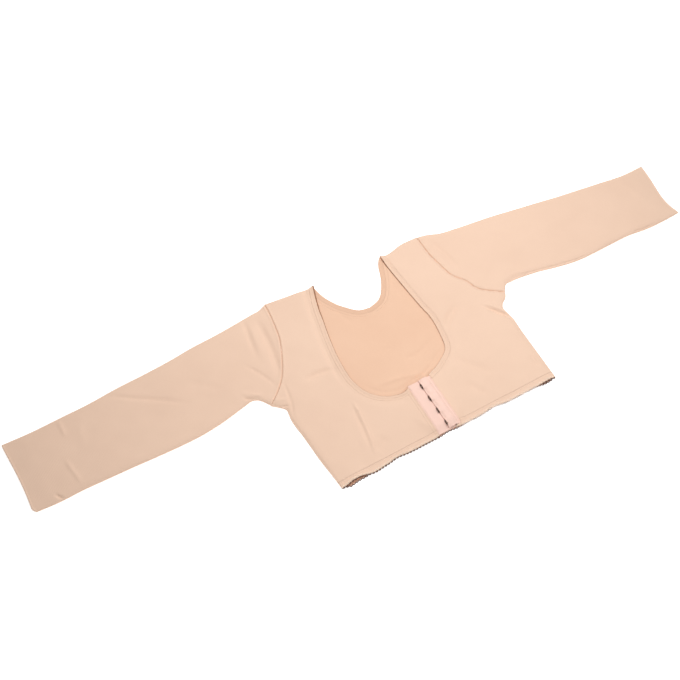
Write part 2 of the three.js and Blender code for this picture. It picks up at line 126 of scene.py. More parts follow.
# Front neckline: (share of its depth, right, left), as shares of NECK_HALF from the centre line
FRONT_NECK = [
    (0.18, 1.15, 1.05), (0.28, 1.22, 1.07), (0.4, 1.31, 1.1), (0.5, 1.37, 1.13),
    (0.59, 1.41, 1.17), (0.68, 1.43, 1.155), (0.77, 1.42, 1.1), (0.85, 1.33, 1.02),
    (0.91, 1.18, 0.86), (0.96, 0.94, 0.62), (0.99, 0.64, 0.4),
]

# Back neckline from the centre line: (share of NECK_HALF, right, left), as shares of its depth
BACK_NECK = [
    (0.0, 1.0, 1.0), (0.25, 0.955, 0.945), (0.41, 0.86, 0.85), (0.54, 0.745, 0.71),
    (0.66, 0.625, 0.545), (0.75, 0.5, 0.38), (0.83, 0.37, 0.2), (0.92, 0.155, 0.07),
]

# Sleeve sections: (share of the sleeve, upper edge right, left as shares of SHOULDER_HEIGHT,
# width right, left as shares of an even taper)
SLEEVE = [
    (0.0, 1.0, 1.0, 1.0, 1.0),
    (0.03, 0.983, 0.994, 0.893, 0.92),
    (0.06, 0.979, 0.981, 0.86, 0.896),
    (0.1, 0.972, 0.964, 0.872, 0.874),
    (0.2, 0.956, 0.948, 0.915, 0.897),
    (0.3, 0.946, 0.935, 0.953, 0.948),
    (0.4, 0.929, 0.916, 0.951, 0.972),
    (0.5, 0.918, 0.897, 0.951, 0.962),
    (0.6, 0.91, 0.877, 0.954, 0.939),
    (0.7, 0.896, 0.861, 0.947, 0.929),
    (0.8, 0.89, 0.845, 0.96, 0.951),
    (0.9, 0.884, 0.83, 0.99, 0.949),
    (1.0, 0.886, 0.833, 1.018, 0.978),
]

# Folds of the top layer. Ends are shares of HEM_HALF across and SHOULDER_HEIGHT up, bow is the
# sideways bend as a share of the length, width and rise are in millimetres, and lean sinks the
# cloth on one side of the crest.
FOLDS = [
    # name, x0, y0, x1, y1, bow, width, rise, lean
    ("front crease", -0.596, 0.32, -0.657, 0.075, 0.02, 2.6, 1.6, 1.6),
    ("front crease side", -0.655, 0.27, -0.71, 0.09, 0.02, 5.0, 0.4, 0.0),
    ("front dip", -0.52, 0.115, -0.63, 0.075, 0.0, 7.0, -1.2, 0.3),
    ("right chest", -0.83, 0.53, -0.57, 0.514, 0.06, 4.5, -2.2, 0.4),
    ("left chest", 0.45, 0.45, 0.68, 0.545, 0.04, 6.5, -2.7, 0.4),
    ("left drag 1", 0.33, 0.3, 0.57, 0.15, 0.0, 7.0, -1.8, 0.3),
    ("left drag 2", 0.3, 0.165, 0.4, 0.07, 0.0, 6.5, -1.6, 0.3),
    ("left side mark", 0.92, 0.145, 0.935, 0.08, 0.0, 3.0, -1.1, 0.3),
    ("right armpit", -1.175, 0.483, -1.06, 0.452, -0.05, 1.8, -2.4, 0.3),
    ("right armpit roll", -1.15, 0.508, -1.04, 0.48, 0.0, 3.2, 1.1, 0.0),
    ("right armpit side", -1.003, 0.57, -1.07, 0.39, 0.04, 2.2, -0.9, 0.6),
    ("left armpit", 0.87, 0.475, 1.1, 0.27, 0.02, 2.6, -3.6, 0.7),
    ("left armpit roll", 0.9, 0.486, 1.13, 0.281, 0.02, 3.4, 1.7, 0.0),
    ("left armpit dip", 0.985, 0.52, 0.965, 0.4, 0.0, 4.0, -0.8, 0.0),
    ("right head valley", -0.93, 0.93, -1.0, 0.6, 0.03, 5.5, -2.6, 0.3),
    ("right head ridge", -1.0, 0.93, -1.045, 0.7, 0.0, 4.5, 0.7, 0.0),
    ("right head valley 2", -1.03, 0.97, -1.085, 0.76, 0.0, 4.0, -1.4, 0.3),
    ("right head crease", -1.215, 0.735, -1.07, 0.57, 0.04, 2.4, -1.3, 0.6),
    ("right under roll", -1.34, 0.61, -1.2, 0.56, -0.06, 3.0, 1.2, -0.5),
    ("right under line", -1.35, 0.583, -1.22, 0.545, -0.06, 1.7, -2.0, 0.0),
    ("left head", 0.83, 0.96, 0.9, 0.72, 0.03, 6.0, -2.0, 0.4),
    ("right long", -2.31, 0.885, -1.78, 0.69, 0.0, 3.4, -1.5, 0.5),
    ("right elbow", -1.7, 0.78, -1.45, 0.66, 0.0, 6.0, -0.6, 0.4),
    ("right mid", -2.1, 0.6, -1.7, 0.56, 0.03, 8.0, 0.5, 0.3),
    ("right cuff 1", -2.732, 0.87, -2.722, 0.79, 0.0, 2.6, 1.0, 0.4),
    ("right cuff 2", -2.79, 0.68, -2.74, 0.55, 0.0, 3.0, 1.0, 0.4),
    ("right cuff 3", -2.945, 0.55, -2.89, 0.508, 0.0, 1.8, -1.8, 0.3),
    ("right cuff 4", -2.6, 0.82, -2.62, 0.7, 0.0, 7.0, 0.6, 0.3),
    ("left long", 1.3, 0.68, 2.3, 0.74, 0.02, 9.0, 0.6, 0.3),
    ("left cuff", 2.85, 0.8, 2.9, 0.6, 0.05, 7.0, 0.6, 0.3),
]

# Folds of the back panel, seen through the neck, in the same columns
BACK_FOLDS = [
    ("inside arc", -0.02, 0.41, 0.3, 0.45, -0.12, 4.0, -0.9, 0.6),
    ("inside low arc", -0.34, 0.352, 0.02, 0.318, 0.03, 3.2, 1.3, -0.3),
    ("inside arc 2", -0.24, 0.5, 0.02, 0.47, 0.06, 6.0, -0.5, 0.4),
    ("inside streak 1", 0.2, 0.9, 0.23, 0.74, 0.0, 2.5, -0.5, 0.4),
    ("inside streak 2", 0.29, 0.88, 0.31, 0.7, 0.0, 3.0, -0.4, 0.4),
    ("inside left", -0.3, 0.82, -0.22, 0.7, 0.05, 4.0, -0.5, 0.5),
]

# Soft unevenness of cloth laid by hand: (wavelength, direction in degrees, phase, height)
RIPPLES = [
    (61.0, 17.0, 0.3, 0.14), (47.0, 74.0, 1.9, 0.12), (33.0, 128.0, 4.1, 0.09),
    (27.0, 41.0, 2.2, 0.06), (88.0, 160.0, 5.0, 0.16), (19.0, 98.0, 0.9, 0.03),
]

# Waves of both hems: (place across the garment, width, height)
HEM_WAVES = [(-126, 10, -1.3), (-91, 13, 2.0), (-8, 14, 2.2), (67, 13, 2.1), (156, 14, -1.1)]

# Stretches across the garment: (from, fully from, fully to, to, size)
HEM_LIFTED = [(-108, -88, 75, 92, 0.7)]
HEM_OPEN = [(-174, -158, -152, -132, 1.0), (138, 156, 164, 173, 0.5)]
UNDER_FOLDED = [(203, 225, 338, 360, 1.3), (448, 458, 480, 496, 1.3)]
# where the hem's dark cord of painted shadow runs thinner
SHADE_CORD_FINE = [(2, 14, 134, 156, 1.0)]


def mix(a, b, share):
    return a + (b - a) * share


def smoothstep(x, low, high):
    t = np.clip((x - low) / (high - low), 0, 1)
    return t * t * (3 - 2 * t)


def stretches(x, rows):
    """The sizes of the stretches in a table, faded in and out along x."""
    return sum(
        size * smoothstep(x, start, full) * (1 - smoothstep(x, until, end))
        for start, full, until, end, size in rows
    )


def bell(x, at, width):
    return np.exp(-(((x - at) / width) ** 2))


# Plan geometry
def smooth(points, fineness=6):
    """A Catmull-Rom curve through the points."""
    points = np.asarray(points, float)
    last = len(points) - 1
    out = []
    for i in range(last):
        p0, p1 = points[max(i - 1, 0)], points[i]
        p2, p3 = points[i + 1], points[min(i + 2, last)]
        v0, v1 = (p2 - p0) / 2, (p3 - p1) / 2
        for k in range(fineness):
            t = k / fineness
            a, b = 2 * t**3 - 3 * t**2 + 1, t**3 - 2 * t**2 + t
            c, d = -2 * t**3 + 3 * t**2, t**3 - t**2
            out.append(a * p1 + b * v0 + c * p2 + d * v1)
    return np.array([*out, points[last]])


def lengths(line):
    return np.concatenate([[0], np.cumsum(np.linalg.norm(np.diff(line, axis=0), axis=1))])


def spaced(line, count):
    """count + 1 points at even distances along a line, in two or three dimensions."""
    line = np.asarray(line, float)
    run = lengths(line)
    at = np.linspace(0, run[-1], count + 1)
    return np.stack([np.interp(at, run, line[:, k]) for k in range(line.shape[1])], axis=1)


def beside(line, distance):
    """A line moved to the left of the way it runs."""
    way = np.gradient(line, axis=0)
    way /= np.linalg.norm(way, axis=1, keepdims=True)
    return line + distance * np.stack([-way[:, 1], way[:, 0]], axis=1)


def above(line, height):
    first = int(np.argmax(line[:, 1] > height))
    a, b = line[first - 1], line[first]
    cut = a + (b - a) * (height - a[1]) / (b[1] - a[1])
    return np.vstack([cut, line[first:]])


def distance_to(points, line):
    """Each point's distance to a line, with its share along it and its signed side."""
    best = np.full(len(points), np.inf)
    along = np.zeros(len(points))
    side = np.zeros(len(points))
    run = lengths(line)
    for i in range(len(line) - 1):
        a, way = line[i], line[i + 1] - line[i]
        size = max(float(way @ way), 1e-9)
        share = np.clip((points - a) @ way / size, 0, 1)
        off = points - (a + share[:, None] * way)
        d = np.hypot(off[:, 0], off[:, 1])
        near = d < best
        best[near] = d[near]
        along[near] = (run[i] + share[near] * (run[i + 1] - run[i])) / run[-1]
        side[near] = np.sign(way[0] * off[near, 1] - way[1] * off[near, 0])
    return best, along, side


def outlines(side):
    """The outlines of one side of the garment."""
    sign, column = side["sign"], 1 if side["name"] == "right" else 2
    out = dict(side)
    armpit_height = ARMPIT_HEIGHT * side["armpit"]
    edge = [
        (sign * mix(HEM_HALF, ARMPIT_HALF, row[column]), row[0] * armpit_height)
        for row in SIDE_EDGE
    ]
    out["side"] = smooth(edge)
    armpit = out["side"][-1]
    shoulder = np.array([sign * SHOULDER_HALF * side["shoulder"], SHOULDER_HEIGHT])
    neck = np.array([sign * NECK_HALF * side["neck"], NECK_HEIGHT])
    armhole = [
        (mix(shoulder[0], armpit[0], row[column]), mix(shoulder[1], armpit[1], row[0]))
        for row in ARMHOLE
    ]
    out["armhole"] = smooth(armhole)
    seam = [
        mix(neck, shoulder, row[0]) - np.array([0, row[column] * CUFF_WIDTH])
        for row in SHOULDER
    ]
    out["shoulder_line"] = smooth(seam)
    tape = CLOSURE_AT + sign * TAPE_WIDTH
    front = [(tape + sign * SEWN, FRONT_NECK_HEIGHT)]
    front += [
        (sign * NECK_HALF * row[column], mix(NECK_HEIGHT, FRONT_NECK_HEIGHT, row[0]))
        for row in reversed(FRONT_NECK)
    ]
    line = smooth([*front, neck])
    beside_tape = smoothstep(abs(line[:, 0] - tape), -8, 10)
    low = 1 - smoothstep(line[:, 1], 95, side["sag_to"])
    line[:, 1] -= side["neck_sag"] * beside_tape * low
    out["front_neck"] = line
    back = [
        (sign * NECK_HALF * row[0], mix(NECK_HEIGHT, BACK_NECK_HEIGHT, row[column]))
        for row in BACK_NECK
    ]
    out["back_neck"] = smooth([*back, neck])
    top, under = [], []
    for row in SLEEVE:
        upper = SHOULDER_HEIGHT * row[column]
        width = mix(SHOULDER_HEIGHT - ARMPIT_HEIGHT, CUFF_WIDTH, row[0]) * row[column + 2]
        reach = mix(abs(armpit[0]), CUFF_UNDER_REACH * side["under"], row[0])
        top.append((sign * mix(abs(shoulder[0]), CUFF_TOP_REACH, row[0]), upper))
        under.append((sign * reach, upper - width))
    under[0] = tuple(armpit)
    out["sleeve_top"], out["sleeve_under"] = smooth(top), smooth(under)
    out["sleeve_along"] = smooth([(row[0], 0) for row in SLEEVE])[:, 0]
    out.update(armpit=armpit, shoulder_at=shoulder, neck_at=neck, tape=tape)
    return out


HALVES = [outlines(side) for side in SIDES]
RIGHT, LEFT = HALVES


def sleeve_point(half, along, across):
    """Plan points of a sleeve, from arrays of shares along it and across it."""
    shares = half["sleeve_along"]
    edge = [
        np.stack([np.interp(along, shares, half[name][:, k]) for k in (0, 1)], axis=-1)
        for name in ("sleeve_top", "sleeve_under")
    ]
    seam = spaced(half["armhole"], 400)
    at = np.linspace(0, 1, len(seam))
    on_seam = np.stack([np.interp(across, at, seam[:, k]) for k in (0, 1)], axis=-1)
    chord = mix(half["shoulder_at"], half["armpit"], across[..., None])
    near_armhole = np.clip(1 - along / ARMHOLE_FADE, 0, None) ** 1.5
    near_cuff = np.clip(1 - (1 - along) / CUFF_FADE, 0, None) ** 2
    points = mix(edge[0], edge[1], across[..., None]) + (on_seam - chord) * near_armhole[..., None]
    bow = near_cuff * np.sin(np.pi * np.clip(across, 0, 1) ** half["cuff_lean"])
    corner = smoothstep(along, 0.985, 1) * smoothstep(across, 0.93, 1) ** 2
    points[..., 0] -= half["sign"] * (half["bow"] * bow + half["cuff_round"] * corner)
    return points


# Heights of the top layer
ROLL_IN = 9.0  # how far in from a folded edge the cloth lies at its full height
FOLDED_EDGES = [
    half[name]
    for half in HALVES
    for name in ("side", "shoulder_line", "sleeve_top", "sleeve_under")
]
SIDE_TOP, SLEEVE_TOP = 5.3, 5.0  # the top layer's height at the sides and on the sleeves
SIDES_FROM, SLEEVES_FROM = 110.0, 210.0  # from the closure to where it lies that low
HEM_TOP, CUFF_TOP = 3.6, 3.5  # its height at the hem and the cuffs
HEM_SLOPE, FOOT_SLOPE = 46.0, 16.0  # the way down to the hem, and to it beside the tapes
CUFF_SLOPE, NECK_SLOPE = 30.0, 20.0  # and to the cuffs and the neck
HEM_RISE = 2.6  # how far the front hem draws back where the hem gapes
BACK_TUCK = 1.6  # how far the back hem lies inside the front hem
MOUTH_DROP, MOUTH_AT = 2.0, -166.0  # how far the back hem hangs below it, and where
NECK_TOP_RIGHT, NECK_TOP_LEFT = 4.2, 3.1  # the top layer's height along the neck
TIP_LIFT, TIP_REACH = 3.0, 15.0  # both layers stand up at the neck ends of the shoulders
TIP_GAP = 2.0  # and the top layer stands this much clear of the lower one
EDGE_LIFT = 0.45  # the bound edges stand this much proud
ROW_DEPTH_RIGHT, ROW_DEPTH_LEFT = 0.45, 0.05  # the grooves of the neck's rows of stitches
OUTER_VALLEY, VALLEY_AT = 1.6, 13.0  # the sunk cloth outside the right neck band
NECK_ROWS = (4.0, 7.4)  # from the neckline to its two rows of stitches
RIDGE = 0.5  # the seam allowances beside an armhole seam
ARMHOLE_ROW = 4.4  # from an armhole seam to the row of stitches on the sleeve
ARMHOLE_LENGTH, NECKLINE_LENGTH = 190.0, 640.0  # about, for the puckers along them
UNDER_BAND, UNDER_WIDE_AT = 3.6, 228.0  # the band along the left sleeve's under edge
FOLD_LINES = [CLOSURE_AT - TAPE_WIDTH - 1.8, CLOSURE_AT - TAPE_WIDTH - 5.4]  # beside the eye tape
CUFF_LINES = [sleeve_point(half, np.ones(41), np.linspace(0, 1, 41)) for half in HALVES]
NECK_LINE = np.vstack([RIGHT["front_neck"][::-1], LEFT["front_neck"]])
BACK_LINE = np.vstack([RIGHT["back_neck"][::-1], LEFT["back_neck"]])
BACK_BAND = 12.0  # from the back neckline to its row of stitches
EYE_TAPE_FOOT, HOOK_TAPE_FOOT = 2.4, 4.2  # above the hem line


def gape(x):
    """How far the hem stands open, from 0 to 1, at places across the garment."""
    return stretches(x, HEM_OPEN)


def hem_wave(x):
    height = stretches(x, HEM_LIFTED)
    for at, width, rise in HEM_WAVES:
        height = height + rise * bell(x, at, width)
    return height


def front_hem(x):
    return hem_wave(x) + HEM_RISE * gape(x)


def back_hem(x):
    drop = MOUTH_DROP * bell(x, MOUTH_AT, 9)
    covered = smoothstep(abs(x - CLOSURE_AT), TAPE_WIDTH, TAPE_WIDTH + 6)
    return hem_wave(x) + BACK_TUCK * covered * np.clip(1 - 2 * gape(x), 0, 1) - drop


def fold_height(points, folds):
    height = np.zeros(len(points))
    for _, x0, y0, x1, y1, bow, width, rise, lean in folds:
        a = np.array([x0 * HEM_HALF, y0 * SHOULDER_HEIGHT])
        b = np.array([x1 * HEM_HALF, y1 * SHOULDER_HEIGHT])
        way = b - a
        length = float(np.linalg.norm(way))
        way /= length
        reach = length / 2 + 3 * width
        near = np.linalg.norm(points - (a + b) / 2, axis=1) < reach
        if not near.any():
            continue
        off = points[near] - a
        along = off @ way / length
        across = off @ np.array([-way[1], way[0]])
        across = across - bow * length * np.sin(np.pi * np.clip(along, 0, 1))
        t = across / width
        ends = smoothstep(along, -0.12, 0.3) * smoothstep(-along, -1.12, -0.7)
        height[near] += rise * ends * np.exp(-t * t) * (1 + lean * t)
    return height


def ripple_height(points):
    height = np.zeros(len(points))
    for wave, direction, phase, size in RIPPLES:
        a = math.radians(direction)
        run = points[:, 0] * math.cos(a) + points[:, 1] * math.sin(a)
        cross = points[:, 1] * math.cos(a) - points[:, 0] * math.sin(a)
        bend = 0.35 * np.sin(cross * 2 * math.pi / (2.3 * wave) + 2 * phase)
        height += size * np.sin(run * 2 * math.pi / wave + phase + 2 * bend)
    return height


def pucker(along, pitch, seed):
    """An uneven wave along a seam, from -1 to 1."""
    t = along / pitch * 2 * math.pi
    return 0.5 * np.sin(t + seed) + 0.3 * np.sin(1.73 * t + 2.1 * seed) + 0.2 * np.sin(0.41 * t)


def seam_height(points):
    """The grooves and ridges of the seams and edges."""
    height = np.zeros(len(points))
    for half in HALVES:
        d, along, side = distance_to(points, half["armhole"])
        run = along * ARMHOLE_LENGTH
        outward = np.where(side * half["sign"] > 0, d, -d)
        ridge = RIDGE * (1 + 0.7 * pucker(run, 9.0, half["sign"])) * bell(d, 2.3, 1.4)
        seam = bell(outward, -half["seam_wave"] * pucker(run, 15.0, 1.3), 0.7)
        height += np.where(d < 9, ridge - half["seam_depth"] * seam, 0)
    for line in CUFF_LINES:
        d = distance_to(points, line)[0]
        height += 0.35 * bell(d, 1.0, 1.1) - 0.18 * bell(d, 3.0, 0.9)
    d, along, _ = distance_to(points, NECK_LINE)
    waves = pucker(along * NECKLINE_LENGTH, 11.0, 0.7)
    rows = mix(ROW_DEPTH_RIGHT, ROW_DEPTH_LEFT, smoothstep(points[:, 0], -10, 30))
    band = EDGE_LIFT * bell(d, 1.4, 1.6) + 0.12 * waves * bell(d, BINDING_WIDTH / 2, 3)
    for at in NECK_ROWS:
        band -= rows * bell(d, at, 0.8)
    band += 0.15 * (1 + 0.6 * waves) * bell(d, BINDING_WIDTH + 1.9, 1.3)
    height += np.where(d < 14, band, 0)
    below_neck = 1 - smoothstep(points[:, 1], FRONT_NECK_HEIGHT - 14, FRONT_NECK_HEIGHT - 8)
    outside = (points[:, 0] < 0) * smoothstep(points[:, 1], 120, 160)
    height -= OUTER_VALLEY * outside * bell(d, VALLEY_AT, 4.5)
    for x in FOLD_LINES:
        height -= 0.35 * below_neck * bell(points[:, 0], x, 0.7)
    return height


def under_step(points):
    """The drop to the band along the left sleeve's under edge."""
    x = points[:, 0]
    d = distance_to(points, LEFT["sleeve_under"])[0]
    wide = bell(x, UNDER_WIDE_AT, 14)
    band = UNDER_BAND + 6 * wide + 0.5 * pucker(x, 60.0, 0.4)
    within = 1 - smoothstep(d, band - 0.5 - 5 * wide, band + 0.5)
    return stretches(x, UNDER_FOLDED) * within


def tip_lift(points):
    """The rise of the neck ends of the shoulders, which is also the back panel's underside."""
    lift = np.zeros(len(points))
    for half in HALVES:
        lift += TIP_LIFT * bell(np.linalg.norm(points - half["neck_at"], axis=1), 0, TIP_REACH)
    return lift


def top_height(points):
    """The top layer's outer surface."""
    edge = np.min([distance_to(points, line)[0] for line in FOLDED_EDGES], axis=0)
    left = 1 - np.clip((edge - CLOTH) / ROLL_IN, 0, 1)
    rolled = np.sqrt(np.clip(1 - left * left, 0, 1))
    off_closure = np.abs(points[:, 0] - CLOSURE_AT)
    layer = mix(LAYER_TOP, SIDE_TOP, smoothstep(off_closure, TAPE_WIDTH + 6, SIDES_FROM))
    layer = mix(layer, SLEEVE_TOP, smoothstep(off_closure, SIDES_FROM, SLEEVES_FROM))
    beyond_tape = smoothstep(off_closure, TAPE_WIDTH, TAPE_WIDTH + 22)
    at_hem = 1 - smoothstep(points[:, 1], 0, mix(FOOT_SLOPE, HEM_SLOPE, beyond_tape))
    at_hem *= 1 - 0.7 * gape(points[:, 0])
    layer = mix(layer, HEM_TOP, at_hem)
    for line in CUFF_LINES:
        at_cuff = 1 - smoothstep(distance_to(points, line)[0], 0, CUFF_SLOPE)
        layer = mix(layer, CUFF_TOP, at_cuff)
    at_neck = 1 - smoothstep(distance_to(points, NECK_LINE)[0], 0, NECK_SLOPE)
    at_neck *= mix(0.1, 1, beyond_tape)
    neck_top = mix(NECK_TOP_RIGHT, NECK_TOP_LEFT, smoothstep(points[:, 0], 10, 45))
    layer = mix(layer, neck_top, at_neck)
    relief = fold_height(points, FOLDS) + ripple_height(points) * rolled + seam_height(points)
    fade = np.clip(edge / 4, 0.15, 1)
    lift = (1 + TIP_GAP / TIP_LIFT) * tip_lift(points)
    height = mix(EDGE_TOP, layer, rolled) + relief * fade + lift
    return np.maximum(height - under_step(points), EDGE_TOP)


def back_height(points):
    """The back panel's inner face, which shows through the neck."""
    streaks = 0.0
    for at, size in ((-0.3, 0.25), (0.1, 0.2), (0.45, 0.3), (0.62, 0.35)):
        streaks = streaks + size * bell(points[:, 0], at * NECK_HALF * 1.6, 5)
    shown = smoothstep(points[:, 1], 55, 90) * (1 - smoothstep(np.abs(points[:, 0]), 70, 110))
    relief = 0.25 + 0.35 * streaks + 0.8 * ripple_height(points)
    low = 1 - smoothstep(points[:, 1], 105, 135)
    relief -= 1.1 * low * bell(distance_to(points, NECK_LINE)[0], 8.5, 1.8)
    relief += fold_height(points, BACK_FOLDS)
    from_edge = distance_to(points, BACK_LINE)[0] - BACK_BAND
    relief += 0.25 * bell(from_edge, 2.4, 1.6) - 0.35 * bell(from_edge, 0, 1)
    return CLOTH + shown * np.maximum(relief, -0.7) + tip_lift(points)


# Meshes
def place(points):
    """Garment millimetres to metres in the frame."""
    points = np.asarray(points, float)
    return (points + np.array([MIDDLE, HEM_LINE, 0])) * MM


def make(name, points, faces, material, hides=(), flat=0):
    """A mesh object of the garment, riding on the root body. Its last faces may be flat."""
    mesh = bpy.data.meshes.new(name)
    mesh.from_pydata(place(points).tolist(), [], [list(map(int, f)) for f in faces])
    mesh.validate()
    smooth_faces = len(mesh.polygons) - flat
    mesh.polygons.foreach_set("use_smooth", [True] * smooth_faces + [False] * flat)
    mesh.materials.append(material)
    obj = bpy.data.objects.new(name, mesh)
    bpy.context.scene.collection.objects.link(obj)
    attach(obj, "root")
    if hides:
        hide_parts(*hides)
    return obj


def grid_between(a, b, count, crowd=0.6):
    """A plan grid between two lines, with narrower cells beside both."""
    t = np.linspace(0, 1, count + 1)
    t = mix(t, (1 - np.cos(np.pi * t)) / 2, crowd)
    return a[:, None, :] + (b - a)[:, None, :] * t[None, :, None]


RIM_ANGLES = [45, 0, -45]


def sheet(grids, over, under, rim):
    """A closed sheet over plan grids that may share an edge, with a rounded rim of flat faces:
    its points, its faces and the number of rim faces, which come last."""
    flat = np.vstack([g.reshape(-1, 2) for g in grids])
    keys = np.round(flat, 3)
    _, first, index = np.unique(keys, axis=0, return_index=True, return_inverse=True)
    plan = flat[first]
    quads, start = [], 0
    for g in grids:
        rows, columns = g.shape[:2]
        at = index.reshape(-1)[start : start + rows * columns].reshape(rows, columns)
        start += rows * columns
        cell = np.stack([at[:-1, :-1], at[:-1, 1:], at[1:, 1:], at[1:, :-1]], axis=-1)
        quads.append(cell.reshape(-1, 4))
    quads = np.vstack(quads)
    corner = plan[quads]
    area = np.zeros(len(quads))
    for k in range(4):
        a, b = corner[:, k], corner[:, (k + 1) % 4]
        area += a[:, 0] * b[:, 1] - a[:, 1] * b[:, 0]
    quads[area < 0] = quads[area < 0][:, ::-1]
    edges = {}
    for k in range(4):
        for a, b in zip(quads[:, k].tolist(), quads[:, (k + 1) % 4].tolist()):
            edges[(a, b)] = True
    border = [(a, b) for a, b in edges if (b, a) not in edges]
    inward = np.zeros_like(plan)
    for a, b in border:
        way = plan[b] - plan[a]
        way = way / max(float(np.linalg.norm(way)), 1e-9)
        normal = np.array([-way[1], way[0]])
        inward[a] += normal
        inward[b] += normal
    size = np.linalg.norm(inward, axis=1, keepdims=True)
    inward = np.divide(inward, size, out=np.zeros_like(inward), where=size > 1e-6)
    inner = plan + rim * inward
    high, low = over(inner), under(inner)
    middle, half = (high + low) / 2, (high - low) / 2
    count = len(plan)
    points = [np.column_stack([inner, high]), np.column_stack([inner, low])]
    on_border = sorted({a for a, _ in border})
    levels = [{a: a for a in on_border}]
    for k, angle in enumerate(RIM_ANGLES):
        a = math.radians(angle)
        ring = plan[on_border] + rim * (1 - math.cos(a)) * inward[on_border]
        z = middle[on_border] + half[on_border] * math.sin(a)
        points.append(np.column_stack([ring, z]))
        start = 2 * count + k * len(on_border)
        levels.append({a: start + i for i, a in enumerate(on_border)})
    levels.append({a: a + count for a in on_border})
    faces = [*quads.tolist(), *(quads[:, ::-1] + count).tolist()]
    for a, b in border:
        for upper, lower in zip(levels, levels[1:]):
            faces.append([lower[a], lower[b], upper[b], upper[a]])
    return np.vstack(points), faces, len(border) * (len(levels) - 1)


def cloth(name, grids, over, under, material, hides=(), rim=0.012):
    """A closed sheet over plan grids, as an object."""
    points, faces, rims = sheet(grids, over, under, rim)
    return make(name, points, faces, material, hides, rims)


# Panels
SIDE_COUNT, ARMHOLE_COUNT = 98, 128
FRONT_NECK_COUNT, BACK_NECK_COUNT = 170, 86
FRONT_ACROSS, BACK_ACROSS = 108, 76
BAND_TOP = EDGING_WIDTH + SEWN


def panel_edge(half):
    side = spaced(above(half["side"], BAND_TOP), SIDE_COUNT)
    armhole = beside(spaced(half["armhole"], ARMHOLE_COUNT)[::-1], half["sign"] * SEAM_OPEN)
    return np.vstack([side[:-1], armhole])


def beside_neckline(half, line, distance):
    """The line beside a neckline, which ends on the shoulder seam."""
    moved = beside(line, -half["sign"] * distance)
    moved[0] = line[0] - np.array([0, distance])
    run = lengths(half["shoulder_line"])
    end = [np.interp(distance, run, half["shoulder_line"][:, k]) for k in (0, 1)]
    fade = smoothstep(np.linspace(0, 1, len(moved)), 0.86, 1)[:, None]
    return moved + fade * (np.array(end) - moved[-1])


def inner_edge(half, neckline, neck_count):
    upper = beside_neckline(half, spaced(neckline, neck_count), BINDING_WIDTH + SEWN)
    closure_count = SIDE_COUNT + ARMHOLE_COUNT - neck_count
    lower = spaced([[upper[0][0], BAND_TOP], upper[0]], closure_count)
    return np.vstack([lower[:-1], upper])


def to_shoulder(half, grid):
    """Moves the top rows of a grid so that the last one follows the shoulder seam."""
    rows = grid.shape[0]
    last = grid[-1]
    line = half["shoulder_line"]
    order = np.argsort(np.abs(line[:, 0]))
    y = np.interp(np.abs(last[:, 0]), np.abs(line[order, 0]), line[order, 1])
    shift = y - last[:, 1]
    fade = smoothstep(np.arange(rows) / (rows - 1), 0.9, 1)
    grid[:, :, 1] += fade[:, None] * shift[None, :]
    return grid


def panel_grid(half, neckline, neck_count, across):
    grid = grid_between(inner_edge(half, neckline, neck_count), panel_edge(half), across)
    return to_shoulder(half, grid)


def binding_grid(half, neckline):
    line = spaced(neckline, 2 * FRONT_NECK_COUNT)
    grid = grid_between(line, beside_neckline(half, line, BINDING_WIDTH), 8, 0)
    return to_shoulder(half, grid)


def top_under(points):
    return top_height(points) - CLOTH


# Materials
def settings(node, **values):
    """Sets inputs of a node by their names, with _ for a space."""
    for key, value in values.items():
        node.inputs[key.replace("_", " ")].default_value = value
    return node


class Surface:
    """A material, with its principled shader and what feeds it."""

    def __init__(self, name):
        self.material = bpy.data.materials.new(name)
        self.material.use_nodes = True
        self.tree = self.material.node_tree
        self.shader = self.tree.nodes["Principled BSDF"]

    def add(self, kind, vector=None, **inputs):
        node = settings(self.tree.nodes.new("ShaderNode" + kind), **inputs)
        if vector:
            self.tree.links.new(vector, node.inputs["Vector"])
        return node

    def math(self, operation, *values):
        node = self.add("Math")
        node.operation = operation
        for socket, value in zip(node.inputs, values):
            if isinstance(value, float):
                socket.default_value = value
            else:
                self.tree.links.new(value, socket)
        return node.outputs[0]

    def dye(self, pattern, shades, span):
        """Colours the shader from the first shade to the second, over a span of the pattern."""
        ramp = self.add("ValToRGB")
        for element, shade, position in zip(ramp.color_ramp.elements, shades, span):
            element.position = position
            element.color = (*shade, 1)
        self.tree.links.new(pattern, ramp.inputs["Fac"])
        self.tree.links.new(ramp.outputs["Color"], self.shader.inputs["Base Color"])

    def emboss(self, pattern, strength, depth):
        relief = self.add("Bump", Strength=strength, Distance=depth * MM)
        self.tree.links.new(pattern, relief.inputs["Height"])
        self.tree.links.new(relief.outputs["Normal"], self.shader.inputs["Normal"])


